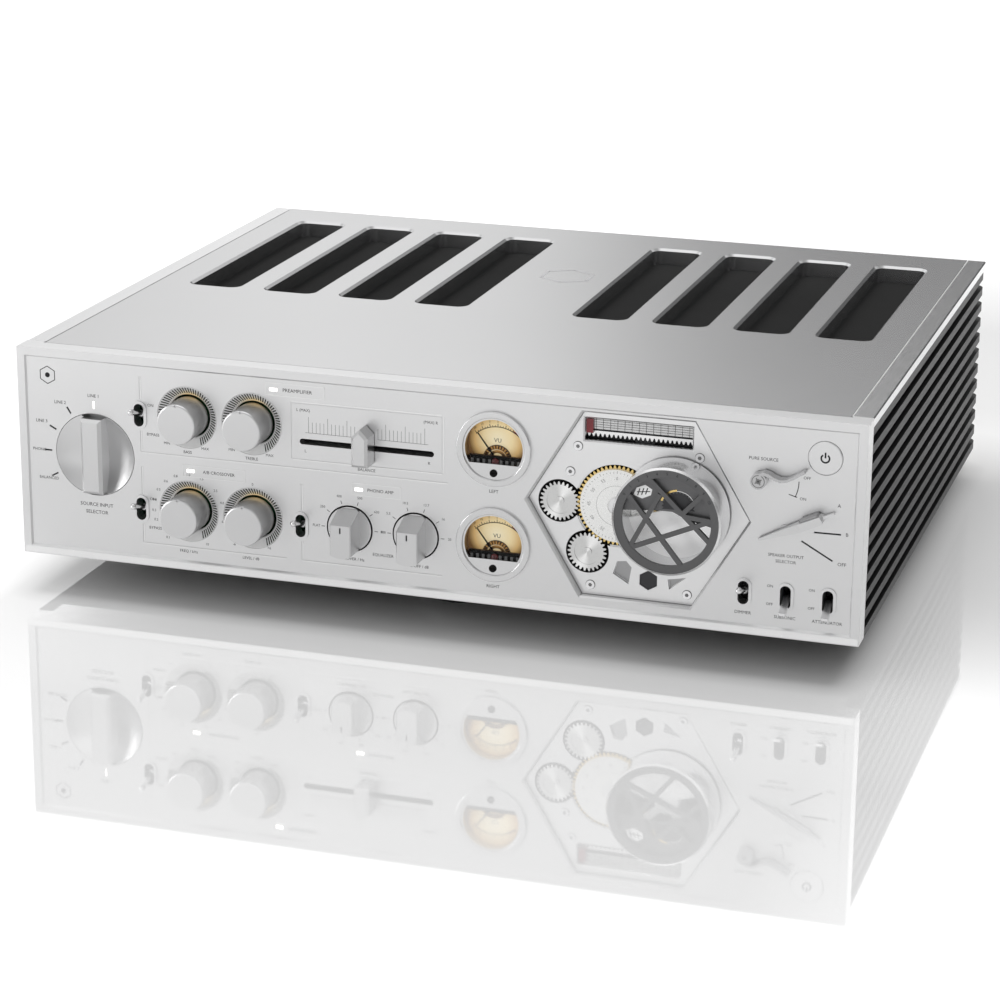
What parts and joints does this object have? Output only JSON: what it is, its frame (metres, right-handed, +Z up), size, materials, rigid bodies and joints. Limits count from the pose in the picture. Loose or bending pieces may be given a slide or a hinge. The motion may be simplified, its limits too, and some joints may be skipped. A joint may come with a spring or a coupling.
{
  "type": "power amplifier",
  "caption": "Silver hi-fi amplifier with black finned sides, vented top, geared volume wheel in a hexagonal window, amber meters, knobs, levers and rear terminals.",
  "frame": {"origin": "centre of the overall footprint box, on the surface the feet stand on", "axes": "+X to the right seen from the front, +Y from the fascia to the rear, +Z up"},
  "size_m": [0.43, 0.387, 0.126],
  "materials": {
    "satin_silver": "fine satin anodised",
    "black_anodised": "satin black anodised",
    "dark_mesh": "matt black woven mesh",
    "foot_black": "satin",
    "zinc_sheet": "plain zinc plated",
    "screw_steel": "dark nickel",
    "wheel_grey": "satin dark grey",
    "web_grey": "satin light grey",
    "gear_brass": "machined",
    "ring_silver": "turned face, brass teeth",
    "index_red": "maroon satin",
    "scale_silver": "satin with black graduations",
    "dial_ring": "printed ring lit from behind",
    "slider_black": "satin",
    "bezel_silver": "satin",
    "dial_amber": "printed dial lit from behind",
    "movement_brown": "moulded",
    "lens_clear": "polished",
    "needle_dark": "matt",
    "board_green": "solder mask",
    "transformer_shell": "potted shell",
    "capacitor_sleeve": "sleeved",
    "terminal_gold": "gold plated",
    "inlet_black": "moulded",
    "rocker_black": "moulded"
  },
  "bodies": {
    "case": {"front_panel": "satin_silver", "top_cover": "satin_silver", "vent_mesh": "dark_mesh", "left_top_rail": "satin_silver", "right_top_rail": "satin_silver", "left_heatsink": "black_anodised", "right_heatsink": "black_anodised", "chassis_base": "black_anodised", "front_foot": "foot_black", "rear_left_foot": "foot_black", "rear_right_foot": "foot_black", "case_screws": "screw_steel", "rear_panel": "satin_silver", "hex_gear_plate": "satin_silver", "volume_scale_plate": "scale_silver", "gear_carrier": "zinc_sheet", "tone_dial_rings": "dial_ring", "balance_fader": "slider_black", "meter_bezels": "bezel_silver", "meter_dials": "dial_amber", "meter_movements": "movement_brown", "meter_lenses": "lens_clear", "meter_zero_screws": "screw_steel", "control_board": "board_green", "toroidal_transformer": "transformer_shell", "amplifier_board": "board_green", "filter_capacitors": "capacitor_sleeve", "speaker_terminals": "terminal_gold", "input_jacks": "terminal_gold", "mains_inlet": "inlet_black"},
    "source_selector": {"source_selector_knob": "satin_silver"},
    "bass": {"bass_knob": "satin_silver"},
    "treble": {"treble_knob": "satin_silver"},
    "crossover": {"crossover_knob": "satin_silver"},
    "crossover_level": {"crossover_level_knob": "satin_silver"},
    "turnover": {"turnover_knob": "satin_silver"},
    "rolloff": {"rolloff_knob": "satin_silver"},
    "balance": {"balance_slider_cap": "satin_silver"},
    "tone_bypass": {"tone_bypass_toggle": "satin_silver"},
    "crossover_switch": {"crossover_toggle": "satin_silver"},
    "phono": {"phono_toggle": "satin_silver"},
    "dimmer": {"dimmer_toggle": "satin_silver"},
    "subsonic": {"subsonic_lever": "satin_silver"},
    "attenuator": {"attenuator_lever": "satin_silver"},
    "pure_source": {"pure_source_lever": "satin_silver"},
    "speaker_select": {"speaker_selector_lever": "satin_silver"},
    "power": {"power_button": "satin_silver"},
    "volume_wheel": {"volume_wheel_rim": "satin_silver", "volume_wheel_grille": "wheel_grey", "volume_wheel_web": "web_grey", "wheel_shaft_pinion": "gear_brass"},
    "ring": {"ring_gear": "ring_silver"},
    "upper_gear": {"upper_small_gear": "gear_brass"},
    "lower_gear": {"lower_small_gear": "gear_brass"},
    "rack_drive": {"rack_pinion": "dark_mesh"},
    "rack": {"volume_rack": "satin_silver", "rack_index": "index_red"},
    "left_needle": {"left_meter_needle": "needle_dark"},
    "right_needle": {"right_meter_needle": "needle_dark"},
    "mains_switch": {"mains_rocker": "rocker_black"}
  },
  "joints": [
    {"name": "source_select_turn", "type": "hinge", "parent": "case", "child": "source_selector", "pos_m": [-0.1742, -0.1785, 0.0732], "axis": [0, -1, 0], "range_deg": [0, 120]},
    {"name": "bass_turn", "type": "hinge", "parent": "case", "child": "bass", "pos_m": [-0.124, -0.1785, 0.0972], "axis": [0, -1, 0], "range_deg": [-145, 145]},
    {"name": "treble_turn", "type": "hinge", "parent": "case", "child": "treble", "pos_m": [-0.0897, -0.1785, 0.0972], "axis": [0, -1, 0], "range_deg": [-145, 145]},
    {"name": "crossover_turn", "type": "hinge", "parent": "case", "child": "crossover", "pos_m": [-0.124, -0.1785, 0.0487], "axis": [0, -1, 0], "range_deg": [-145, 145]},
    {"name": "crossover_level_turn", "type": "hinge", "parent": "case", "child": "crossover_level", "pos_m": [-0.0897, -0.1785, 0.0487], "axis": [0, -1, 0], "range_deg": [-145, 145]},
    {"name": "turnover_turn", "type": "hinge", "parent": "case", "child": "turnover", "pos_m": [-0.0388, -0.1785, 0.0487], "axis": [0, -1, 0], "range_deg": [-60, 60]},
    {"name": "rolloff_turn", "type": "hinge", "parent": "case", "child": "rolloff", "pos_m": [-0.0046, -0.1785, 0.0487], "axis": [0, -1, 0], "range_deg": [-60, 60]},
    {"name": "balance_slide", "type": "slide", "parent": "case", "child": "balance", "axis": [1, 0, 0], "range_m": [-0.031, 0.031]},
    {"name": "tone_bypass_flip", "type": "hinge", "parent": "case", "child": "tone_bypass", "pos_m": [-0.1496, -0.1743, 0.0962], "axis": [1, 0, 0], "range_deg": [0, 34]},
    {"name": "crossover_switch_flip", "type": "hinge", "parent": "case", "child": "crossover_switch", "pos_m": [-0.1496, -0.1743, 0.0475], "axis": [1, 0, 0], "range_deg": [0, 34]},
    {"name": "phono_flip", "type": "hinge", "parent": "case", "child": "phono", "pos_m": [-0.0644, -0.1743, 0.0476], "axis": [1, 0, 0], "range_deg": [0, 34]},
    {"name": "dimmer_flip", "type": "hinge", "parent": "case", "child": "dimmer", "pos_m": [0.1589, -0.1743, 0.0385], "axis": [1, 0, 0], "range_deg": [0, 34]},
    {"name": "subsonic_flip", "type": "hinge", "parent": "case", "child": "subsonic", "pos_m": [0.1792, -0.1707, 0.0382], "axis": [-1, 0, 0], "range_deg": [0, 52]},
    {"name": "attenuator_flip", "type": "hinge", "parent": "case", "child": "attenuator", "pos_m": [0.1994, -0.1707, 0.038], "axis": [-1, 0, 0], "range_deg": [0, 52]},
    {"name": "pure_source_swing", "type": "hinge", "parent": "case", "child": "pure_source", "pos_m": [0.1652, -0.1785, 0.0953], "axis": [0, -1, 0], "range_deg": [-35, 0]},
    {"name": "speaker_select_swing", "type": "hinge", "parent": "case", "child": "speaker_select", "pos_m": [0.1777, -0.1785, 0.0716], "axis": [0, -1, 0], "range_deg": [-54, 0]},
    {"name": "power_press", "type": "slide", "parent": "case", "child": "power", "axis": [0, 1, 0], "range_m": [0, 0.002], "stiffness_N_per_m": 350, "springref_m": -0.001},
    {"name": "volume_turn", "type": "hinge", "parent": "case", "child": "volume_wheel", "pos_m": [0.1243, -0.1785, 0.0743], "axis": [0, -1, 0], "range_deg": [-270, 0]},
    {"name": "ring_gear_turn", "type": "hinge", "parent": "case", "child": "ring", "pos_m": [0.09526, -0.1785, 0.07339], "axis": [0, -1, 0], "range_deg": [-3, 143]},
    {"name": "upper_gear_turn", "type": "hinge", "parent": "case", "child": "upper_gear", "pos_m": [0.06692, -0.1785, 0.07304], "axis": [0, -1, 0], "range_deg": [-306, 4]},
    {"name": "lower_gear_turn", "type": "hinge", "parent": "case", "child": "lower_gear", "pos_m": [0.08105, -0.1785, 0.04886], "axis": [0, -1, 0], "range_deg": [-306, 4]},
    {"name": "rack_pinion_turn", "type": "hinge", "parent": "case", "child": "rack_drive", "pos_m": [0.10686, -0.1785, 0.0981], "axis": [0, -1, 0], "range_deg": [-346, 4]},
    {"name": "rack_travel", "type": "slide", "parent": "case", "child": "rack", "axis": [1, 0, 0], "range_m": [-0.0006, 0.0478]},
    {"name": "left_needle_swing", "type": "hinge", "parent": "case", "child": "left_needle", "pos_m": [0.035, -0.1785, 0.09], "axis": [0, -1, 0], "range_deg": [-74, 0]},
    {"name": "right_needle_swing", "type": "hinge", "parent": "case", "child": "right_needle", "pos_m": [0.035, -0.1785, 0.0418], "axis": [0, -1, 0], "range_deg": [-74, 0]},
    {"name": "mains_rock", "type": "hinge", "parent": "case", "child": "mains_switch", "pos_m": [0.0965, 0.1711, 0.044], "axis": [1, 0, 0], "range_deg": [-16, 0]}
  ],
  "couplings": [
    {"joint": "ring_gear_turn", "follows": "volume_turn", "ratio": -0.50909},
    {"joint": "upper_gear_turn", "follows": "volume_turn", "ratio": 1.0769},
    {"joint": "lower_gear_turn", "follows": "volume_turn", "ratio": 1.0769},
    {"joint": "rack_pinion_turn", "follows": "volume_turn", "ratio": 1.2174},
    {"joint": "rack_travel", "follows": "volume_turn", "m_per_rad": -0.0098}
  ]
}
